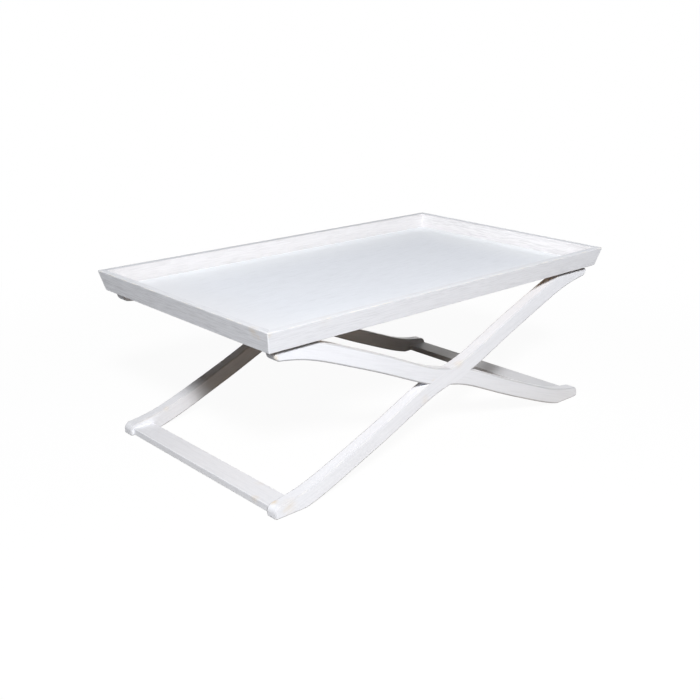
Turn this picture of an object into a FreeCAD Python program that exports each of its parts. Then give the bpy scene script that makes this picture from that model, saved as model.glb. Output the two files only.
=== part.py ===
# Coffee table: a splayed, mitred tray that rests on a stand of two crossed leg frames.
# The origin is on the floor at the middle of the footprint, +X runs along the table,
# -Y is the front and +Z is up. All sizes are in millimetres.
import FreeCAD, Part
import os

from FreeCAD import Vector

# Overall, over the rim of the tray
table_length = 1200.0
table_width = 700.0
table_height = 450.0

# Tray sides and floor
tray_height = 51.0
tray_splay = 13.0  # how far each side leans out over its height
side_thickness = 19.5  # measured level
floor_thickness = 11.0
tongue_thickness = 5.0  # edge of the floor panel, let into the foot of each side
tongue_depth = 9.0
panel_gap = 0.2  # play between the floor panel and the sides
rim_ease = 1.5
corner_ease = 3.0

# Splines glued across the mitres of the tray
spline_thickness = 4.0
spline_width = 14.0
spline_stop = 8.0  # wood left above and below each spline
spline_gap = 0.1

# Legs
leg_width = 43.5  # across the sweep of the leg
leg_thickness = 33.0
leg_setback = 11.0  # leg faces behind the lower edge of the tray
foot_setback = 17.0  # toes inside the lower edge of the tray
head_setback = 23.0  # upper ends inside the lower edge of the tray
head_trim = 10.0  # how much more is sawn off the head of a leg than off its sole
toe_radius = 18.0
heel_ease = 6.0
leg_ease = 4.0

# One half of the sweep of a leg, from the crossing to beyond the toe: the share of the
# foot's reach, and the share of the crossing's height that the centreline has dropped
sweep_shares = (
    (0.0, 0.0),
    (0.09, 0.062),
    (0.20, 0.178),
    (0.40, 0.423),
    (0.575, 0.622),
    (0.715, 0.776),
    (0.82, 0.874),
    (0.92, 0.934),
    (1.05, 0.968),
)
edge_steps = 28

# Boards between the feet
stretcher_width = 61.0
stretcher_thickness = 17.0
stretcher_lift = 2.5  # clear of the floor
stretcher_setback = 10.0  # from the toes
board_ease = 1.5

# Rails between the heads of the legs
rail_thickness = 20.0
rail_height = 28.0
rail_setback = 48.0  # from the ends of the heads

# Dowels in the ends of the boards and rails
dowel_radius = 4.0
dowel_length = 36.0
dowel_spacing = 28.0  # between the two dowels at the end of a board
rail_dowel_spacing = 14.0
dowel_gap = 0.1
dowel_chamfer = 0.8

# Pads that the tray rests on
pad_thickness = 7.0
pad_length = 60.0
pad_width = 24.0
pad_corner = 4.0

# Battens under the tray, which drop in between the rails and the legs
batten_width = 30.0
batten_height = 15.0
batten_play = 1.0

# Countersunk screws
screw_radius = 1.75
screw_head_radius = 3.6
screw_head_height = 2.4
screw_tip = 3.0
screw_gap = 0.1
batten_screw_length = 21.0
batten_screw_margin = 60.0  # from the ends of a batten
crossing_screw_length = 24.0
crossing_screw_spacing = 26.0

# Working values
overrun = 5.0  # how far a cutting shape runs past what it cuts
same_place = 0.01  # two positions closer than this are one

# Levels and faces that several pieces share
tray_underside = table_height - tray_height
tray_floor = tray_underside + floor_thickness
tongue_top = tray_underside + tongue_thickness
stand_height = tray_underside - pad_thickness
crossing_height = (stand_height + head_trim) / 2
lower_half_length = table_length / 2 - tray_splay
lower_half_width = table_width / 2 - tray_splay
leg_outer_y = lower_half_width - leg_setback
leg_inner_y = leg_outer_y - leg_thickness
foot_reach = lower_half_length - foot_setback
head_reach = lower_half_length - head_setback
stretcher_outer_x = foot_reach - stretcher_setback
rail_outer_x = head_reach - rail_setback
rail_inner_x = rail_outer_x - rail_thickness


def block(x0, x1, y0, y1, z0, z1):
    """A box between two corners."""
    return Part.makeBox(x1 - x0, y1 - y0, z1 - z0, Vector(x0, y0, z0))


def level_rectangle(half_length, half_width, z):
    """A closed rectangle about the Z axis."""
    corners = [
        Vector(-half_length, -half_width, z),
        Vector(half_length, -half_width, z),
        Vector(half_length, half_width, z),
        Vector(-half_length, half_width, z),
    ]
    return Part.makePolygon(corners + corners[:1])


def mirrored_x(shape):
    return shape.mirror(Vector(0, 0, 0), Vector(1, 0, 0))


def mirrored_y(shape):
    return shape.mirror(Vector(0, 0, 0), Vector(0, 1, 0))


def four_ways(shape):
    """The shape and its three mirror images about the middle of the table."""
    pair = [shape, mirrored_x(shape)]
    return pair + [mirrored_y(one) for one in pair]


def level(edge, z):
    """Whether an edge lies in the level plane at z."""
    box = edge.BoundBox
    return abs(box.ZMin - z) < same_place and abs(box.ZMax - z) < same_place


def facing_y(edge, y):
    """Whether an edge lies in the upright plane at y."""
    box = edge.BoundBox
    return abs(box.YMin - y) < same_place and abs(box.YMax - y) < same_place


def along_y(edge, x):
    """Whether an edge runs straight along Y at x."""
    box = edge.BoundBox
    return abs(box.XMin - x) < same_place and abs(box.XMax - x) < same_place and box.ZLength < same_place


# Tray

def splayed_block(inset, z0, z1):
    """The space inside the splayed outer faces of the tray, taken in by inset."""
    outlines = []
    for z in (z0, z1):
        off_rim = tray_splay * (table_height - z) / tray_height + inset
        outlines.append(level_rectangle(table_length / 2 - off_rim, table_width / 2 - off_rim, z))
    return Part.makeLoft(outlines, True, True)


def tray_ring():
    """All four sides in one, with eased edges and the rebate for the floor panel."""
    outside = splayed_block(0, tray_underside, table_height)
    sloping = [e for e in outside.Edges if e.BoundBox.ZLength > tray_height / 2]
    outside = outside.makeFillet(corner_ease, sloping)
    inside = splayed_block(side_thickness, tray_underside - overrun, table_height + overrun)
    ring = outside.cut(inside)
    rims = [e for e in ring.Edges if level(e, table_height)]
    outer_feet = [e for e in ring.Edges if level(e, tray_underside) and beyond_inner_foot(e)]
    ring = ring.makeFillet(rim_ease, rims + outer_feet)
    return ring.cut(tongue_space(panel_gap, overrun))


def beyond_inner_foot(edge):
    """Whether an edge at the foot of the ring lies outside its inner outline."""
    centre = edge.CenterOfMass
    inner_half_length = lower_half_length - side_thickness
    inner_half_width = lower_half_width - side_thickness
    beyond_length = abs(centre.x) > inner_half_length + same_place
    beyond_width = abs(centre.y) > inner_half_width + same_place
    return beyond_length or beyond_width


def tongue_space(gap, below):
    """The lower part of the floor panel, wider by gap and reaching further down by below."""
    half_length = lower_half_length - side_thickness + tongue_depth - panel_gap + gap
    half_width = lower_half_width - side_thickness + tongue_depth - panel_gap + gap
    return block(-half_length, half_length, -half_width, half_width, tray_underside - below, tongue_top)


def tray_panel():
    """The floor: a field between the leaning sides, with a thinner tongue all round it."""
    field = splayed_block(side_thickness + panel_gap, tongue_top, tray_floor)
    return tongue_space(0, 0).fuse(field).cut(Part.makeCompound(batten_screws(screw_gap)))


def mitre_wedge(half_along, half_across):
    """An upright prism between two mitres, on the side of the tray towards -Y."""
    corners = [
        Vector(-half_along - overrun, -half_across - overrun, tray_underside - overrun),
        Vector(half_along + overrun, -half_across - overrun, tray_underside - overrun),
        Vector(half_along - half_across, 0, tray_underside - overrun),
        Vector(half_across - half_along, 0, tray_underside - overrun),
    ]
    base = Part.Face(Part.makePolygon(corners + corners[:1]))
    return base.extrude(Vector(0, 0, tray_height + overrun + overrun))


def mitre_spline(gap):
    """The spline in the front left mitre, which leans with the corner, grown all round by gap."""
    half_width = spline_width / 2 + gap
    half_thickness = spline_thickness / 2 + gap
    z0 = tray_floor + spline_stop - gap
    z1 = table_height - spline_stop + gap
    along = Vector(1, -1, 0).normalize()
    across = Vector(1, 1, 0).normalize()
    middles = []
    for z in (z0, z1):
        inset = tray_splay * (table_height - z) / tray_height + side_thickness / 2
        middles.append(Vector(inset - table_length / 2, inset - table_width / 2, z))
    start = middles[0]
    corners = [
        start - along * half_width - across * half_thickness,
        start + along * half_width - across * half_thickness,
        start + along * half_width + across * half_thickness,
        start - along * half_width + across * half_thickness,
    ]
    return Part.Face(Part.makePolygon(corners + corners[:1])).extrude(middles[1] - start)


def tray_sides():
    ring = tray_ring().cut(Part.makeCompound(four_ways(mitre_spline(spline_gap))))
    front_wedge = mitre_wedge(table_length / 2, table_width / 2)
    front = ring.common(front_wedge)
    left = ring.common(block(-table_length, 0, -table_width, table_width, 0, table_height + overrun))
    left = left.cut(front_wedge).cut(mirrored_y(front_wedge))
    return {
        "tray_side_front": front,
        "tray_side_back": mirrored_y(front),
        "tray_end_left": left,
        "tray_end_right": mirrored_x(left),
    }


# Screws and dowels

def screw(length, gap):
    """A countersunk screw that points up from its head's face at the origin, grown by gap."""
    profile = [
        Vector(0, 0, 0),
        Vector(screw_head_radius + gap, 0, 0),
        Vector(screw_radius + gap, 0, screw_head_height),
        Vector(screw_radius + gap, 0, length - screw_tip),
        Vector(0, 0, length + gap),
    ]
    face = Part.Face(Part.makePolygon(profile + profile[:1]))
    return face.revolve(Vector(0, 0, 0), Vector(0, 0, 1), 360)


def batten_screw_places():
    half_run = leg_inner_y - batten_play - batten_screw_margin
    x = rail_inner_x - batten_play - batten_width / 2
    z = tray_underside - batten_height
    return [Vector(side * x, y, z) for side in (-1, 1) for y in (-half_run, 0, half_run)]


def crossing_screw_places():
    half = crossing_screw_spacing / 2
    return [Vector(x, -leg_inner_y, crossing_height) for x in (-half, half)]


def batten_screws(gap):
    return [screw(batten_screw_length, gap).translated(place) for place in batten_screw_places()]


def crossing_screws(gap):
    """The screws of the front crossing, driven from its inner face towards the front."""
    upright = screw(crossing_screw_length, gap)
    level_one = upright.rotated(Vector(0, 0, 0), Vector(1, 0, 0), 90)
    return [level_one.translated(place) for place in crossing_screw_places()]


def dowel(x, z, gap):
    """A dowel along Y across the inner face of the front legs, grown all round by gap."""
    start = Vector(x, -leg_inner_y - dowel_length / 2 - gap, z)
    peg = Part.makeCylinder(dowel_radius + gap, dowel_length + gap + gap, start, Vector(0, 1, 0))
    if gap > 0:
        return peg
    return peg.makeChamfer(dowel_chamfer, [e for e in peg.Edges if e.BoundBox.YLength < same_place])


def stretcher_dowels(gap):
    """The two dowels at the front end of the left board."""
    middle_x = stretcher_width / 2 - stretcher_outer_x
    middle_z = stretcher_lift + stretcher_thickness / 2
    half = dowel_spacing / 2
    return [dowel(middle_x + offset, middle_z, gap) for offset in (-half, half)]


def rail_dowels(gap):
    """The two dowels at the front end of the left rail, one above the other."""
    middle_x = rail_thickness / 2 - rail_outer_x
    middle_z = stand_height - rail_height / 2
    half = rail_dowel_spacing / 2
    return [dowel(middle_x, middle_z + offset, gap) for offset in (-half, half)]


def all_corners(shapes):
    """The pieces of the front left corner, repeated at the other three."""
    return [one for shape in shapes for one in four_ways(shape)]


# Stand

def leg_sweep():
    """The centreline of a leg, from beyond its head on the left to beyond its toe on the right."""
    toe_half = [Vector(run * foot_reach, 0, -drop * crossing_height) for run, drop in sweep_shares]
    head_half = [point * -1 for point in reversed(toe_half[1:])]
    sweep = Part.BSplineCurve()
    sweep.interpolate([point + Vector(0, 0, crossing_height) for point in head_half + toe_half])
    return sweep


def leg_edge(sweep, side):
    """The upper edge of a leg for side 1 and the lower one for -1, half its width off the sweep."""
    first = sweep.FirstParameter
    last = sweep.LastParameter
    points = []
    for step in range(edge_steps + 1):
        at = first + (last - first) * step / edge_steps
        tangent = sweep.tangent(at)[0]
        square = Vector(-tangent.z, 0, tangent.x)
        points.append(sweep.value(at) + square * (side * leg_width / 2))
    edge = Part.BSplineCurve()
    edge.interpolate(points)
    return edge


def leg_board(extra):
    """The unsawn front leg that stands on the right foot, thicker by extra on both faces."""
    sweep = leg_sweep()
    upper = leg_edge(sweep, 1)
    lower = leg_edge(sweep, -1)
    head_end = Part.makeLine(upper.StartPoint, lower.StartPoint)
    toe_end = Part.makeLine(upper.EndPoint, lower.EndPoint)
    outline = Part.Wire(Part.__sortEdges__([upper.toShape(), toe_end, lower.toShape(), head_end]))
    board = Part.Face(outline).extrude(Vector(0, leg_thickness + extra + extra, 0))
    return board.translated(Vector(0, -leg_outer_y - extra, 0))


def sawn_leg():
    """The same leg at its own thickness, sawn to length and level, with its ends rounded."""
    kept = block(-head_reach, foot_reach, -leg_outer_y - overrun, overrun - leg_inner_y, 0, stand_height)
    leg = leg_board(0).common(kept)
    leg = leg.makeFillet(toe_radius, [end_edges(leg, foot_reach)[-1], end_edges(leg, -head_reach)[0]])
    return leg.makeFillet(heel_ease, [end_edges(leg, foot_reach)[0], end_edges(leg, -head_reach)[-1]])


def end_edges(leg, x):
    """The edges that cross the thickness of a leg at its sawn end, lowest first."""
    return sorted((e for e in leg.Edges if along_y(e, x)), key=lambda e: e.CenterOfMass.z)


def front_legs():
    """The two halved front legs, eased together so that their faces run flush."""
    right_foot = sawn_leg()
    cross = right_foot.fuse(mirrored_x(right_foot)).removeSplitter()
    arrises = [e for e in cross.Edges if facing_y(e, -leg_outer_y) or facing_y(e, -leg_inner_y)]
    cross = cross.makeFillet(leg_ease, arrises)

    board = leg_board(overrun)
    crossing = board.common(mirrored_x(board))
    front_y = -leg_outer_y - overrun
    back_y = overrun - leg_inner_y
    middle_y = -(leg_outer_y + leg_inner_y) / 2
    outer_half = block(-table_length, table_length, front_y, middle_y, 0, table_height)
    inner_half = block(-table_length, table_length, middle_y, back_y, 0, table_height)
    upper_arm = block(-table_length, 0, front_y, back_y, crossing_height, table_height).cut(crossing)
    lower_arm = block(0, table_length, front_y, back_y, -overrun, crossing_height).cut(crossing)

    holes = stretcher_dowels(dowel_gap) + rail_dowels(dowel_gap)
    holes = holes + [mirrored_x(hole) for hole in holes] + crossing_screws(screw_gap)
    left = cross
    for away in [upper_arm, lower_arm, crossing.common(inner_half)] + holes:
        left = left.cut(away)
    right = cross
    for away in [mirrored_x(upper_arm), mirrored_x(lower_arm), crossing.common(outer_half)] + holes:
        right = right.cut(away)
    return left, right


def left_stretcher():
    board = block(
        -stretcher_outer_x,
        stretcher_width - stretcher_outer_x,
        -leg_inner_y,
        leg_inner_y,
        stretcher_lift,
        stretcher_lift + stretcher_thickness,
    )
    board = board.makeFillet(board_ease, [e for e in board.Edges if e.BoundBox.YLength > leg_inner_y])
    return board.cut(Part.makeCompound(all_corners(stretcher_dowels(dowel_gap))))


def left_rail():
    rail_underside = stand_height - rail_height
    rail = block(-rail_outer_x, -rail_inner_x, -leg_inner_y, leg_inner_y, rail_underside, stand_height)
    rail = rail.makeFillet(board_ease, [e for e in rail.Edges if e.BoundBox.YLength > leg_inner_y])
    return rail.cut(Part.makeCompound(all_corners(rail_dowels(dowel_gap))))


def rest_pads():
    """One pad on the head of each leg, between the rail and the end."""
    middle_x = (rail_outer_x + rail_inner_x) / 2
    middle_y = (leg_outer_y + leg_inner_y) / 2
    pad = block(
        -middle_x - pad_length / 2,
        pad_length / 2 - middle_x,
        -middle_y - pad_width / 2,
        pad_width / 2 - middle_y,
        stand_height,
        tray_underside,
    )
    pad = pad.makeFillet(pad_corner, [e for e in pad.Edges if e.BoundBox.ZLength > pad_thickness / 2])
    return four_ways(pad)


def left_batten():
    outer_x = rail_inner_x - batten_play
    end_y = leg_inner_y - batten_play
    batten_underside = tray_underside - batten_height
    batten = block(-outer_x, batten_width - outer_x, -end_y, end_y, batten_underside, tray_underside)
    eased = [e for e in batten.Edges if level(e, batten_underside)]
    batten = batten.makeFillet(board_ease, eased)
    return batten.cut(Part.makeCompound(batten_screws(screw_gap)))


def build():
    left_leg, right_leg = front_legs()
    stretcher = left_stretcher()
    rail = left_rail()
    batten = left_batten()
    crossing = crossing_screws(0)
    nodes = {
        "leg_front_left": left_leg,
        "leg_front_right": right_leg,
        "leg_back_left": mirrored_y(left_leg),
        "leg_back_right": mirrored_y(right_leg),
        "foot_stretcher_left": stretcher,
        "foot_stretcher_right": mirrored_x(stretcher),
        "top_rail_left": rail,
        "top_rail_right": mirrored_x(rail),
        "stretcher_dowels": Part.makeCompound(all_corners(stretcher_dowels(0))),
        "top_rail_dowels": Part.makeCompound(all_corners(rail_dowels(0))),
        "crossing_screws": Part.makeCompound(crossing + [mirrored_y(one) for one in crossing]),
        "rest_pads": Part.makeCompound(rest_pads()),
        "tray_panel": tray_panel(),
        "mitre_splines": Part.makeCompound(four_ways(mitre_spline(0))),
        "locating_batten_left": batten,
        "locating_batten_right": mirrored_x(batten),
        "batten_screws": Part.makeCompound(batten_screws(0)),
    }
    nodes.update(tray_sides())
    return nodes


os.makedirs("parts", exist_ok=True)
for name, shape in build().items():
    shape.exportStep(f"parts/{name}.step")
    volume = sum(solid.Volume for solid in shape.Solids)
    print(name, len(shape.Solids), "solids", round(volume), "mm3", shape.isValid())
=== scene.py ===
import math
from collections import namedtuple

import bpy
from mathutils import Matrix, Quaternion, Vector


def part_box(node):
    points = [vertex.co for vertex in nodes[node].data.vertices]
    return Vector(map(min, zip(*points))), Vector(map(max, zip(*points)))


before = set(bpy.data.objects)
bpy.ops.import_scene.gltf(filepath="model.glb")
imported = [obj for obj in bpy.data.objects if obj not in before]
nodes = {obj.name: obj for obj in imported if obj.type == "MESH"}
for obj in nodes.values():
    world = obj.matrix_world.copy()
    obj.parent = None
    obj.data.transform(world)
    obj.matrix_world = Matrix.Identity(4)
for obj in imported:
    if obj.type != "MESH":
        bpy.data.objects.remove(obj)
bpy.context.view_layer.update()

# Camera, at the photograph's place. Its lens and its sensor are in millimetres.
camera_place = Vector((-1.7437, -1.8366, 1.0537))
camera_aim = Vector((-0.0469, 0.0011, 0.2000))
camera_roll = math.radians(0.381)
camera_lens = 49.635
camera_sensor = 36.0

# Lamps: the way to each from the point that all of them face, how far off it stands, its width
# and height, its power in watts and its colour
Lamp = namedtuple("Lamp", "name way distance width height power colour")
lamp_aim = Vector((0.0, 0.0, 0.25))
lamps = (
    Lamp("key", Vector((-0.481, -0.642, 0.597)), 6.5, 0.91, 0.91, 562.0, (1.0, 0.995, 1.0)),
    Lamp("rear", Vector((0.72, 0.85, 0.05)), 3.5, 3.0, 0.5, 62.0, (1.0, 0.98, 0.95)),
)

# Light of the room on the object, from the level of the eye and from above. A direction's rise
# goes from 0, level, to 1, straight up, and past the zenith's rise all light is the zenith's.
horizon_colour = (1.0, 0.96, 0.88)
horizon_strength = 0.008
zenith_colour = (0.75, 0.90, 1.0)
zenith_strength = 0.060
zenith_rise = 0.8

# Floor: white to the camera, with a soft shadow that fades out away from the table. The light
# that it sends back is warm and dim close under the table and a plain grey further out.
pure_white = (1.0, 1.0, 1.0)
origin = (0.0, 0.0, 0.0)
floor_half = 15.0
floor_level = -0.0003
shadow_share = 0.05
shadow_span = (0.9, 2.0)
bounce_middle = (0.15, 0.0, 0.0)
bounce_span = (0.40, 0.90)
bounce_near_colour = (0.300, 0.240, 0.176)
bounce_far_colour = (0.320, 0.320, 0.325)

# Colours of the finishes
limed_white = (0.853, 0.866, 0.902)
# The blue cast of the tray floor's white is painted cool light from above
tray_floor_painted_cool_white = (0.872, 0.898, 0.952)
# Painted light: the whiter glow on the tray floor along its walls
tray_floor_painted_glow = (0.925, 0.950, 0.980)
# Painted shade: the duller white on the tray floor along its left wall
tray_floor_painted_shade = (0.840, 0.850, 0.875)
rubbed_cream = (0.860, 0.810, 0.700)
rubbed_tan = (0.720, 0.600, 0.430)
timber_light = (0.620, 0.450, 0.300)
timber_dark = (0.400, 0.260, 0.150)
felt_light = (0.520, 0.460, 0.380)
felt_dark = (0.360, 0.310, 0.250)
zinc_bright = (0.62, 0.63, 0.65)
zinc_dull = (0.42, 0.43, 0.46)

# How much of the limed white each piece shows, set piece by piece to match how brightly it is lit:
# painted light and shade
painted_light_shares = {
    "leg_front_left": 0.925,
    "leg_front_right": 0.910,
    "leg_back_left": 0.870,
    "leg_back_right": 0.925,
    "foot_stretcher_left": 0.910,
    "foot_stretcher_right": 0.770,
    "top_rail_left": 0.935,
    "top_rail_right": 0.935,
    "tray_side_front": 0.990,
    "tray_side_back": 0.820,
    "tray_end_left": 0.955,
    "tray_end_right": 0.965,
}

# Marks in the wood, the felt and the zinc, all made of noise: their length along the grain,
# their width and the amount of detail
Marks = namedtuple("Marks", "length width detail")
cloud_marks = Marks(0.160, 0.0180, 3.0)
pore_marks = Marks(0.014, 0.0008, 2.0)
ring_marks = Marks(0.300, 0.0080, 4.0)
patch_marks = Marks(0.045, 0.0100, 5.0)
fibre_marks = Marks(0.0030, 0.0008, 6.0)
mottle_marks = Marks(0.0020, 0.0020, 4.0)
marks_roughness = 0.55
patch_start = (0.3, 0.7, 0.2)

# Values of the noise over which each kind of mark comes in
streak_span = (0.44, 0.60)
cloud_span = (0.30, 0.70)
limed_pore_span = (0.60, 0.72)
timber_pore_span = (0.58, 0.70)
ring_span = (0.35, 0.65)
patch_span = (0.45, 0.62)
rub_span = (0.40, 0.60)
fibre_span = (0.30, 0.70)
mottle_span = (0.35, 0.65)

# How much of the streaks the clouds leave, and of the rubs the streaks: the least and the most
cloud_shares = (0.45, 1.0)
rub_shares = (0.45, 1.0)

# Pores: how much white one loses where a streak loses 1, how much of the dark colour one has in
# bare timber, and the height of a streak where a pore is 1 deep
limed_pore_share = 0.6
timber_pore_share = 0.5
streak_height = 0.5

# Grain of the limed pieces: its streaks, the share of white lost in them, and how strongly it
# can be felt
Grain = namedtuple("Grain", "marks loss relief")
side_grain = Grain(Marks(0.045, 0.0018, 5.0), 0.11, 0.30)
end_grain = Grain(Marks(0.045, 0.0018, 5.0), 0.18, 0.40)
floor_grain = Grain(Marks(0.050, 0.0020, 5.0), 0.085, 0.40)
leg_grain = Grain(Marks(0.080, 0.0040, 5.0), 0.05, 0.10)

# Skins: two values of the noise and the roughness at each, the specular level, how metallic the
# surface is, and the depth of its relief. The grain of the limed pieces gives the strength of
# their relief, and the others have their own.
Skin = namedtuple("Skin", "span roughness specular metallic depth")
limed_skin = Skin((0.30, 0.70), (0.58, 0.74), 0.25, 0.0, 0.0004)
timber_skin = Skin((0.30, 0.70), (0.60, 0.75), 0.30, 0.0, 0.0004)
felt_skin = Skin((0.20, 0.80), (0.85, 1.00), 0.15, 0.0, 0.0006)
zinc_skin = Skin((0.30, 0.70), (0.28, 0.45), 0.50, 1.0, 0.0001)
timber_relief = 0.35
felt_relief = 0.80
zinc_relief = 0.25

# Arrises: the share of the white taken away there, which on the legs and the tray's rim is painted
# shade that dims the highlight of the rounded arris and beside the boards' arrises is wear, how it
# comes in as the surface turns, and the cream shown for each share lost
leg_arris_painted_shade = 0.28
leg_arris_power = 0.7
leg_cream = 0.6
board_arris_loss = 0.05
board_arris_reach = 0.0030
board_arris_samples = 6
board_arris_span = (0.03, 0.30)
board_cream = 5.0
# Painted shade on the rim's upward outer arris
rim_arris_painted_shade = 0.22
rim_arris_gain = 2.2
rim_cream = 3.0

# Inner walls of the tray, whose outward part is below the limit: their warmer tint, painted to
# offset the cool light that the tray floor casts on them, and the painted shade at their foot and
# towards the left
inward_limit = -0.5
wall_painted_warmth = (0.990, 0.965, 0.940)
wall_foot_painted_shade = 0.07
wall_foot_reach = 0.025
wall_left_painted_shade = 0.07
wall_left_reach = 0.600

# Floor of the tray: painted light, a whiter glow, in a band along each of three walls, given as the
# axis across the wall, the wall's side on it and the share of the glow. The floor has painted shade
# along the left wall and right beside the other three. Its underside is bare.
Band = namedtuple("Band", "axis side share")
glow_bands = (Band("X", 1.0, 1.0), Band("Y", -1.0, 0.6), Band("Y", 1.0, 0.8))
glow_reach = 0.200
left_shade_share = 0.8
left_shade_reach = 0.250
# Painted shade on the floor right beside the right, front and back walls
corner_painted_shade = 0.09
corner_reach = 0.030
underside_span = (-0.9, -0.6)

# How the grain lies: the turn that brings the X axis onto it
leg_slope = math.radians(18.6)
along_x = (0.0, 0.0, 0.0)
along_y = (0.0, 0.0, math.radians(90.0))
along_z = (0.0, math.radians(-90.0), 0.0)
rising_right = (0.0, -leg_slope, 0.0)
rising_left = (0.0, leg_slope, 0.0)

# Rubbed places: the middle of each, from the lowest corner of its piece's box, how far it
# reaches, and how much of the tan shows
Rub = namedtuple("Rub", "middle reach share")
rubbed_places = {
    "leg_front_left": (
        Rub((0.040, 0.000, 0.020), 0.030, 0.35),
        Rub((0.017, 0.026, 0.029), 0.014, 0.75),
        Rub((0.027, 0.000, 0.016), 0.012, 0.30),
        Rub((0.476, 0.000, 0.163), 0.020, 0.25),
        Rub((0.600, 0.000, 0.232), 0.024, 0.30),
    ),
    "leg_front_right": (
        Rub((0.0028, 0.0, 0.382), 0.012, 0.50),
        Rub((0.4988, 0.0, 0.204), 0.012, 0.30),
    ),
    "leg_back_left": (
        Rub((0.113, 0.000, 0.050), 0.014, 0.30),
    ),
    "foot_stretcher_left": (
        Rub((0.055, 0.107, 0.0170), 0.020, 0.20),
        Rub((0.000, 0.058, 0.0155), 0.018, 0.40),
    ),
    "tray_side_front": (
        Rub((0.0037, 0.0006, 0.046), 0.012, 0.30),
        Rub((0.1587, 0.0006, 0.050), 0.030, 0.12),
    ),
    "tray_end_left": (
        Rub((0.0016, 0.0507, 0.042), 0.022, 0.40),
        Rub((0.0026, 0.0367, 0.033), 0.012, 0.35),
    ),
}


# Nodes of a material

def feed(tree, socket, value):
    """Links an output to an input, or sets the input's own value."""
    if isinstance(value, bpy.types.NodeSocket):
        tree.links.new(value, socket)
    elif socket.type == "RGBA":
        socket.default_value = (*value, 1.0)
    else:
        socket.default_value = value


def add(tree, kind, settings=None, inputs=None):
    """A node with its settings and its inputs."""
    made = tree.nodes.new(kind)
    for name, value in (settings or {}).items():
        setattr(made, name, value)
    for name, value in (inputs or {}).items():
        feed(tree, made.inputs[name], value)
    return made


def calculate(tree, operation, *values):
    """The result of an operation on numbers."""
    made = add(tree, "ShaderNodeMath", {"operation": operation})
    for socket, value in zip(made.inputs, values):
        feed(tree, socket, value)
    return made.outputs["Value"]


def product(tree, first, *others):
    result = first
    for other in others:
        result = calculate(tree, "MULTIPLY", result, other)
    return result


def combine(tree, operation, first, second, result="Vector"):
    """The result of an operation on two vectors or colours."""
    made = add(tree, "ShaderNodeVectorMath", {"operation": operation})
    feed(tree, made.inputs[0], first)
    feed(tree, made.inputs[1], second)
    return made.outputs[result]


def spread(tree, value, span, result=(0.0, 1.0)):
    """A value in the span, moved smoothly to the range of the result and held at its ends."""
    limits = {"From Min": span[0], "From Max": span[1], "To Min": result[0], "To Max": result[1]}
    smooth = {"interpolation_type": "SMOOTHSTEP"}
    made = add(tree, "ShaderNodeMapRange", smooth, {"Value": value, **limits})
    return made.outputs["Result"]


def fade(tree, gap, reach, share):
    """The whole share where there is no gap, and nothing where the gap is the reach or more."""
    return spread(tree, gap, (0.0, reach), (share, 0.0))


def blend_colours(tree, share, first, second):
    """The first colour where the share is 0 and the second where it is 1."""
    made = tree.nodes.new("ShaderNodeMix")
    made.data_type = "RGBA"
    colours = [socket for socket in made.inputs if socket.type == "RGBA"]
    feed(tree, made.inputs["Factor"], share)
    feed(tree, colours[0], first)
    feed(tree, colours[1], second)
    return next(socket for socket in made.outputs if socket.type == "RGBA")


def darken(tree, colour, loss):
    """A colour with a share of its light taken away."""
    kept = calculate(tree, "SUBTRACT", 1.0, loss)
    made = add(tree, "ShaderNodeVectorMath", {"operation": "SCALE"}, {"Scale": kept})
    feed(tree, made.inputs[0], colour)
    return made.outputs["Vector"]


def part_of(tree, vector, axis):
    return add(tree, "ShaderNodeSeparateXYZ", None, {"Vector": vector}).outputs[axis]


def place(tree):
    """The place of a point on the table."""
    return add(tree, "ShaderNodeTexCoord").outputs["Object"]


def beyond(tree, axis, edge):
    """How far a point on the table lies beyond an edge along an axis."""
    return calculate(tree, "SUBTRACT", part_of(tree, place(tree), axis), edge)


def facing(tree, axis):
    """The part of a surface's own direction that lies along an axis, from -1 to 1."""
    return part_of(tree, add(tree, "ShaderNodeTexCoord").outputs["Normal"], axis)


def figure(tree, lie, marks, start=origin):
    """Noise from 0 to 1 whose marks are drawn out along the grain."""
    size = (marks.length, marks.width, marks.width)
    stretch = {"Vector": place(tree), "Location": start, "Rotation": lie, "Scale": size}
    drawn = add(tree, "ShaderNodeMapping", {"vector_type": "TEXTURE"}, stretch).outputs["Vector"]
    noise = {"Vector": drawn, "Scale": 1.0, "Detail": marks.detail, "Roughness": marks_roughness}
    return add(tree, "ShaderNodeTexNoise", None, noise).outputs["Fac"]


def new_material(name):
    """An empty material, its node tree and its surface socket."""
    material = bpy.data.materials.new(name)
    material.use_nodes = True
    tree = material.node_tree
    tree.nodes.clear()
    output = tree.nodes.new("ShaderNodeOutputMaterial")
    return material, tree, output.inputs["Surface"]


def coat(tree, surface, skin, colour, noise, height, strength):
    """The shader of a finish: its roughness follows the noise, and its relief the height."""
    relief = {"Strength": strength, "Distance": skin.depth, "Height": height}
    looks = {
        "Base Color": colour,
        "Roughness": spread(tree, noise, skin.span, skin.roughness),
        "Specular IOR Level": skin.specular,
        "Metallic": skin.metallic,
        "Normal": add(tree, "ShaderNodeBump", None, relief).outputs["Normal"],
    }
    made = add(tree, "ShaderNodeBsdfPrincipled", None, looks)
    tree.links.new(made.outputs["BSDF"], surface)


# Arrises and inner walls, where white is taken away: painted shade on the legs' and the rim's
# arrises and on the inner walls, and wear beside the boards' arrises

def leg_arris(tree):
    """Painted shade round the eased arrises of a leg, whose broad faces look along Y, that dims the
    highlight there.
    """
    across = calculate(tree, "ABSOLUTE", facing(tree, "Y"))
    along = calculate(tree, "SQRT", calculate(tree, "SUBTRACT", 1.0, product(tree, across, across)))
    # Twice the product is 0 on the flat faces and 1 halfway round the arris
    turn = product(tree, across, along, 2.0)
    return product(tree, calculate(tree, "POWER", turn, leg_arris_power), leg_arris_painted_shade)


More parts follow.
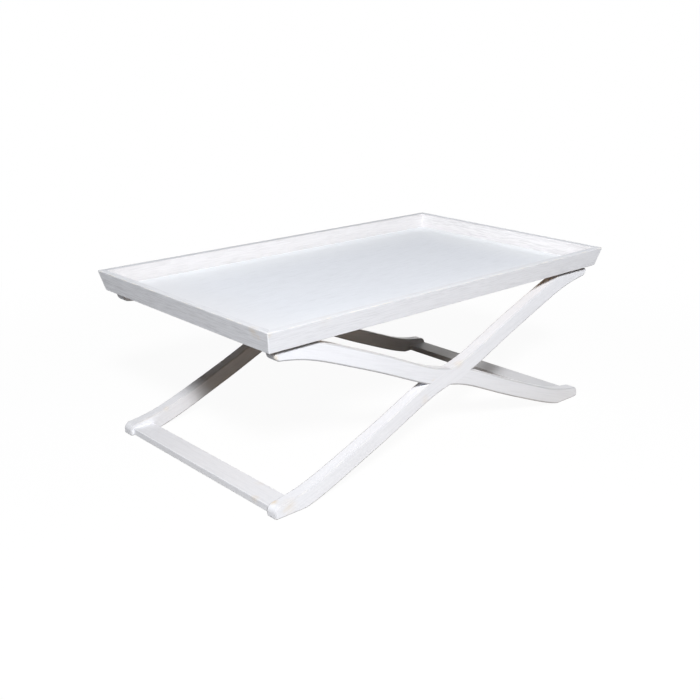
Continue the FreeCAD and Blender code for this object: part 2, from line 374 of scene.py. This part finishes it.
def board_arris(tree):
    """The loss beside the sharp arrises of a board."""
    rounding = {"Radius": board_arris_reach}
    samples = {"samples": board_arris_samples}
    soft = add(tree, "ShaderNodeBevel", samples, rounding).outputs["Normal"]
    true = add(tree, "ShaderNodeNewGeometry").outputs["True Normal"]
    agreement = combine(tree, "DOT_PRODUCT", soft, true, "Value")
    turn = calculate(tree, "SUBTRACT", 1.0, agreement)
    return spread(tree, turn, board_arris_span, (0.0, board_arris_loss))


def outward(tree, axis):
    """How far a face of the tray's rim looks away from the middle of the tray along an axis."""
    side = calculate(tree, "SIGN", part_of(tree, place(tree), axis))
    return product(tree, facing(tree, axis), side)


def rim_arris(axis):
    """Painted shade on the upward outer arris of a tray side that stands across an axis, dimming
    its highlight.
    """
    def loss(tree):
        out = calculate(tree, "MAXIMUM", outward(tree, axis), 0.0)
        upward = calculate(tree, "MAXIMUM", facing(tree, "Z"), 0.0)
        turn = calculate(tree, "MINIMUM", product(tree, out, upward, rim_arris_gain), 1.0)
        return product(tree, turn, rim_arris_painted_shade)
    return loss


def inner_wall(axis):
    """Where the inner wall of a tray side is, and the painted shade on it."""
    def wall(tree):
        low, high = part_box("tray_panel")
        inside = calculate(tree, "LESS_THAN", outward(tree, axis), inward_limit)
        foot = fade(tree, beyond(tree, "Z", high.z), wall_foot_reach, wall_foot_painted_shade)
        left = fade(tree, beyond(tree, "X", low.x), wall_left_reach, wall_left_painted_shade)
        return inside, calculate(tree, "ADD", foot, left)
    return wall


# Finishes of the CAD pieces

def dress(node, finish):
    """Gives a CAD piece a material of its own: its node tree and its surface socket."""
    material, tree, surface = new_material(f"{finish}_{node}")
    piece = nodes[node]
    for slot in piece.material_slots:
        slot.material = material
    if not piece.material_slots:
        piece.data.materials.append(material)
    return tree, surface


def bare_timber(tree, lie):
    """The tan of the timber itself, with its rings and pores."""
    rings = spread(tree, figure(tree, lie, ring_marks), ring_span)
    pores = spread(tree, figure(tree, lie, pore_marks), timber_pore_span)
    base = blend_colours(tree, rings, timber_light, timber_dark)
    return blend_colours(tree, product(tree, pores, timber_pore_share), base, timber_dark)


def streaked(tree, lie, white, grain):
    """White that is thinner in its streaks and pores: its colour, the streaks and the pores."""
    streaks = figure(tree, lie, grain.marks)
    clouds = spread(tree, figure(tree, lie, cloud_marks), cloud_span, cloud_shares)
    pores = spread(tree, figure(tree, lie, pore_marks), limed_pore_span)
    thin = product(tree, spread(tree, streaks, streak_span), clouds)
    thin = calculate(tree, "MAXIMUM", thin, product(tree, pores, limed_pore_share))
    return darken(tree, white, product(tree, thin, grain.loss)), streaks, pores


def rubbed(tree, node, streaks):
    """How much of the tan shows on a piece, in places that its streaks break up."""
    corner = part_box(node)[0]
    broken = spread(tree, streaks, rub_span, rub_shares)
    shown = 0.0
    for rub in rubbed_places.get(node, ()):
        away = combine(tree, "DISTANCE", place(tree), corner + Vector(rub.middle), "Value")
        close = fade(tree, away, rub.reach, 1.0)
        shown = calculate(tree, "MAXIMUM", shown, product(tree, close, broken, rub.share))
    return shown


def matt(tree, surface, colour, streaks, pores, grain):
    """The matt surface of limed wood, whose streaks stand up and whose pores are sunk."""
    height = calculate(tree, "SUBTRACT", product(tree, streaks, streak_height), pores)
    coat(tree, surface, limed_skin, colour, streaks, height, grain.relief)


def limed_wood(node, lie, grain, arris, cream, wall=None):
    """Limed wood in a tone set for the piece, which is painted light and shade, darker on its
    arrises, with cream patches there.
    """
    tree, surface = dress(node, "limed")
    # The piece's share of the white is painted light and shade
    white = [part * painted_light_shares[node] for part in limed_white]
    paint, streaks, pores = streaked(tree, lie, white, grain)
    if wall:
        # Inner walls get a painted warm tint against the floor's cool light, and painted shade at
        # their foot and towards the left
        inside, wall_shade = wall(tree)
        shaded_wall = darken(tree, combine(tree, "MULTIPLY", paint, wall_painted_warmth), wall_shade)
        paint = blend_colours(tree, inside, paint, shaded_wall)
    # On the legs and the rim the arris loss is painted shade over their highlight; beside the
    # boards' arrises it is wear
    loss = arris(tree)
    patches = spread(tree, figure(tree, lie, patch_marks, patch_start), patch_span)
    creamy = product(tree, loss, patches, cream)
    paint = blend_colours(tree, creamy, darken(tree, paint, loss), rubbed_cream)
    colour = blend_colours(tree, rubbed(tree, node, streaks), paint, rubbed_tan)
    matt(tree, surface, colour, streaks, pores, grain)


def tray_floor(node):
    """Limed panel: painted light in broad bands along three walls, painted shade along the left
    wall and in its corners, bare below.
    """
    tree, surface = dress(node, "limed")
    # The floor's white carries painted cool light from above in its blue cast
    paint, streaks, pores = streaked(tree, along_x, tray_floor_painted_cool_white, floor_grain)
    low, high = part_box(node)
    edges = {"X": high.x, "Y": high.y}
    # Painted light: a whiter glow in a band along each of three walls
    wall_glow = 0.0
    nearest = glow_reach
    for band in glow_bands:
        along = product(tree, part_of(tree, place(tree), band.axis), band.side)
        gap = calculate(tree, "SUBTRACT", edges[band.axis], along)
        wall_glow = calculate(tree, "MAXIMUM", wall_glow, fade(tree, gap, glow_reach, band.share))
        nearest = calculate(tree, "MINIMUM", nearest, gap)
    paint = blend_colours(tree, wall_glow, paint, tray_floor_painted_glow)
    # Painted shade along the left wall
    dull = fade(tree, beyond(tree, "X", low.x), left_shade_reach, left_shade_share)
    paint = blend_colours(tree, dull, paint, tray_floor_painted_shade)
    # Painted shade right beside the right, front and back walls
    paint = darken(tree, paint, fade(tree, nearest, corner_reach, corner_painted_shade))
    below = spread(tree, facing(tree, "Z"), underside_span, (1.0, 0.0))
    colour = blend_colours(tree, below, paint, bare_timber(tree, along_x))
    matt(tree, surface, colour, streaks, pores, floor_grain)


def raw_wood(node, lie):
    """Unfinished timber with fine dark pores."""
    tree, surface = dress(node, "raw")
    rings = figure(tree, lie, ring_marks)
    pores = spread(tree, figure(tree, lie, pore_marks), timber_pore_span)
    height = calculate(tree, "SUBTRACT", rings, pores)
    coat(tree, surface, timber_skin, bare_timber(tree, lie), rings, height, timber_relief)


def felt(node):
    """Pressed felt of natural brown wool."""
    tree, surface = dress(node, "felt")
    fibres = figure(tree, along_x, fibre_marks)
    colour = blend_colours(tree, spread(tree, fibres, fibre_span), felt_dark, felt_light)
    coat(tree, surface, felt_skin, colour, fibres, fibres, felt_relief)


def zinc(node):
    """Zinc plating, mottled and slightly dull."""
    tree, surface = dress(node, "zinc")
    mottle = figure(tree, along_x, mottle_marks)
    colour = blend_colours(tree, spread(tree, mottle, mottle_span), zinc_dull, zinc_bright)
    coat(tree, surface, zinc_skin, colour, mottle, mottle, zinc_relief)


def dress_stand():
    for side, lie in (("left", rising_right), ("right", rising_left)):
        for row in ("front", "back"):
            limed_wood(f"leg_{row}_{side}", lie, leg_grain, leg_arris, leg_cream)
        for board in ("foot_stretcher", "top_rail"):
            limed_wood(f"{board}_{side}", along_y, leg_grain, board_arris, board_cream)
    raw_wood("stretcher_dowels", along_y)
    raw_wood("top_rail_dowels", along_y)
    zinc("crossing_screws")
    felt("rest_pads")


def dress_tray():
    for row in ("front", "back"):
        side = f"tray_side_{row}"
        limed_wood(side, along_x, side_grain, rim_arris("Y"), rim_cream, inner_wall("Y"))
    for hand in ("left", "right"):
        end = f"tray_end_{hand}"
        limed_wood(end, along_y, end_grain, rim_arris("X"), rim_cream, inner_wall("X"))
        raw_wood(f"locating_batten_{hand}", along_y)
    tray_floor("tray_panel")
    raw_wood("mitre_splines", along_z)
    zinc("batten_screws")


# Stage

def seen_directly(tree):
    """1 for rays from the camera and for those that gloss or glass sends on."""
    rays = add(tree, "ShaderNodeLightPath").outputs
    mirrored = calculate(tree, "MAXIMUM", rays["Is Glossy Ray"], rays["Is Transmission Ray"])
    return calculate(tree, "MAXIMUM", rays["Is Camera Ray"], mirrored)


def mix_shaders(tree, share, first, second):
    """The first shader where the share is 0 and the second where it is 1."""
    made = tree.nodes.new("ShaderNodeMixShader")
    feed(tree, made.inputs[0], share)
    feed(tree, made.inputs[1], first)
    feed(tree, made.inputs[2], second)
    return made.outputs["Shader"]


def diffuse(tree, colour):
    return add(tree, "ShaderNodeBsdfDiffuse", None, {"Color": colour}).outputs["BSDF"]


def glow(tree, colour, strength):
    """The light that the world sends."""
    light = {"Color": colour, "Strength": strength}
    return add(tree, "ShaderNodeBackground", None, light).outputs["Background"]


def floor_material(name):
    """White with a soft shadow to the camera, and a dim surface to every other ray."""
    material, tree, surface = new_material(name)
    away = combine(tree, "DISTANCE", place(tree), origin, "Value")
    share = spread(tree, away, shadow_span, (shadow_share, 0.0))
    lit = add(tree, "ShaderNodeEmission", None, {"Strength": 1.0}).outputs["Emission"]
    pale = mix_shaders(tree, share, lit, diffuse(tree, pure_white))

    under = combine(tree, "DISTANCE", place(tree), bounce_middle, "Value")
    reach = spread(tree, under, bounce_span)
    grey = blend_colours(tree, reach, bounce_near_colour, bounce_far_colour)
    shown = mix_shaders(tree, seen_directly(tree), diffuse(tree, grey), pale)
    tree.links.new(shown, surface)
    return material


def floor():
    name = "pale_floor"
    mesh = bpy.data.meshes.new(name)
    sides = ((-1, -1), (1, -1), (1, 1), (-1, 1))
    corners = [(x * floor_half, y * floor_half, floor_level) for x, y in sides]
    mesh.from_pydata(corners, [], [(0, 1, 2, 3)])
    mesh.materials.append(floor_material(name))
    ground = bpy.data.objects.new(name, mesh)
    bpy.context.scene.collection.objects.link(ground)


def room():
    """A world that is white to the camera and a faint dome to the object."""
    world = bpy.data.worlds.new("room")
    world.use_nodes = True
    tree = world.node_tree
    tree.nodes.clear()
    way = add(tree, "ShaderNodeTexCoord").outputs["Generated"]
    rise = spread(tree, part_of(tree, way, "Z"), (0.0, zenith_rise))
    horizon = glow(tree, horizon_colour, horizon_strength)
    zenith = glow(tree, zenith_colour, zenith_strength)
    dome = mix_shaders(tree, rise, horizon, zenith)
    seen = mix_shaders(tree, seen_directly(tree), dome, glow(tree, pure_white, 1.0))
    output = tree.nodes.new("ShaderNodeOutputWorld")
    tree.links.new(seen, output.inputs["Surface"])
    bpy.context.scene.world = world


def put(name, data, spot, turn):
    """An object for a lamp or a camera."""
    thing = bpy.data.objects.new(name, data)
    thing.location = spot
    thing.rotation_mode = "QUATERNION"
    thing.rotation_quaternion = turn
    bpy.context.scene.collection.objects.link(thing)
    return thing


def hang(lamp):
    """A soft lamp that faces the table."""
    light = bpy.data.lights.new(lamp.name, "AREA")
    light.shape = "RECTANGLE"
    light.size = lamp.width
    light.size_y = lamp.height
    light.energy = lamp.power
    light.color = lamp.colour
    spot = lamp_aim + lamp.way.normalized() * lamp.distance
    put(lamp.name, light, spot, (-lamp.way).to_track_quat("-Z", "Y"))


def set_camera():
    data = bpy.data.cameras.new("camera")
    data.sensor_width = camera_sensor
    data.lens = camera_lens
    level = (camera_aim - camera_place).to_track_quat("-Z", "Y")
    turn = level @ Quaternion((0.0, 0.0, 1.0), camera_roll)
    bpy.context.scene.camera = put("camera", data, camera_place, turn)


dress_stand()
dress_tray()
floor()
room()
for lamp in lamps:
    hang(lamp)
set_camera()
bpy.context.scene.view_settings.view_transform = "Standard"
